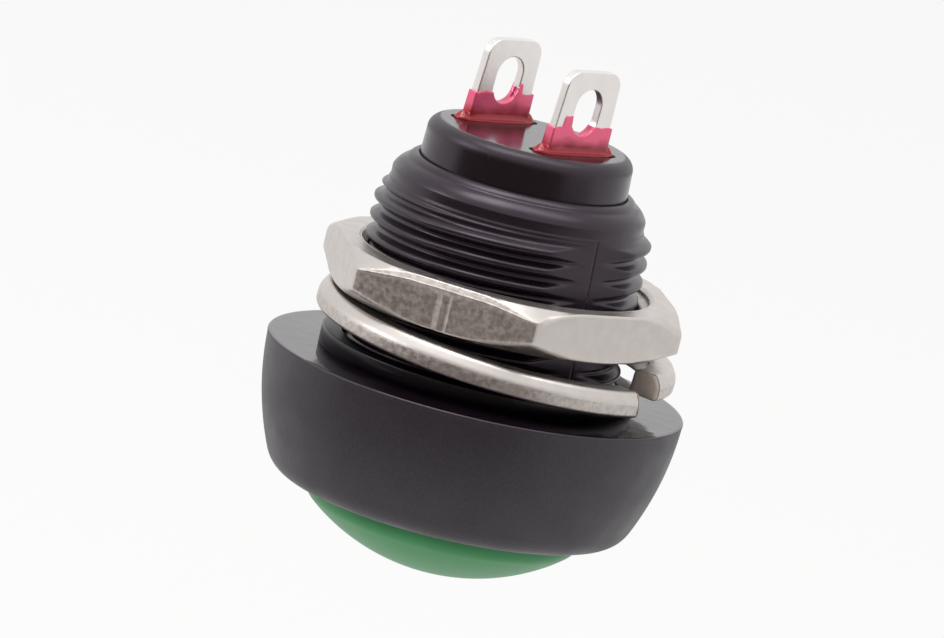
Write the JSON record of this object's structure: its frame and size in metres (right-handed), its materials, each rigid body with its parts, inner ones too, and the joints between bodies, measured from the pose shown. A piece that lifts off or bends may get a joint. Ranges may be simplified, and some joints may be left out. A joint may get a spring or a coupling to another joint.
{
  "type": "pushbutton switch",
  "caption": "Sealed momentary pushbutton switch with a green domed cap, black bezel, threaded bush, panel gasket, spring washer, hexagon nut and slotted solder lugs.",
  "frame": {"origin": "centre of the bezel's seating face, in the middle of the panel hole", "axes": "+Z along the axis from the button to the terminals; the button is pressed along +Z"},
  "size_m": [0.018, 0.018, 0.0227],
  "materials": {
    "bezel_nylon": "fine matt moulded grain, dark charcoal",
    "cap_green": "smooth moulded, muted green",
    "stem_plastic": "smooth natural acetal",
    "base_plastic": "smooth glossy black",
    "seal_rubber": "smooth black",
    "gasket_rubber": "smooth black sheet",
    "nickel_plate": "bright nickel plate with a fine mottle",
    "silver_plate": "satin silver plate",
    "contact_silver": "silver alloy",
    "bronze": "phosphor bronze, silver faced",
    "spring_steel": "drawn stainless wire",
    "stainless": "stamped stainless",
    "red_resin": "glossy clear red resin"
  },
  "bodies": {
    "bushing": {"bezel_bushing": "bezel_nylon", "plunger_seal": "seal_rubber", "seal_retainer": "stainless", "panel_gasket": "gasket_rubber", "terminal_base": "base_plastic", "base_gasket": "seal_rubber", "terminal_left": "silver_plate", "terminal_right": "silver_plate", "fixed_contact_left": "contact_silver", "fixed_contact_right": "contact_silver", "sealant_left": "red_resin", "sealant_right": "red_resin", "return_spring": "spring_steel"},
    "button": {"button_cap": "cap_green", "plunger": "stem_plastic", "disc_retainer": "stainless"},
    "contact": {"contact_disc": "bronze", "contact_spring": "spring_steel"},
    "washer": {"lock_washer": "nickel_plate"},
    "nut": {"hex_nut": "nickel_plate"}
  },
  "joints": [
    {"name": "button_press", "type": "slide", "parent": "bushing", "child": "button", "axis": [0, 0, 1], "range_m": [0, 0.0016], "stiffness_N_per_m": 1200, "springref_m": -0.0008, "deforming": ["return_spring", "contact_spring"]},
    {"name": "contact_travel", "type": "slide", "parent": "bushing", "child": "contact", "axis": [0, 0, 1], "range_m": [0, 0.00096]},
    {"name": "nut_travel", "type": "slide", "parent": "bushing", "child": "washer", "axis": [0, 0, 1], "range_m": [0, 0.00238]},
    {"name": "nut_turn", "type": "hinge", "parent": "washer", "child": "nut", "pos_m": [0.00022, 0, 0.0037], "axis": [0, 0, 1], "range_deg": [0, 1080]}
  ],
  "couplings": [
    {"joint": "contact_travel", "follows": "button_press", "ratio": 0.6},
    {"joint": "nut_turn", "follows": "nut_travel", "rad_per_m": 7913.3}
  ]
}
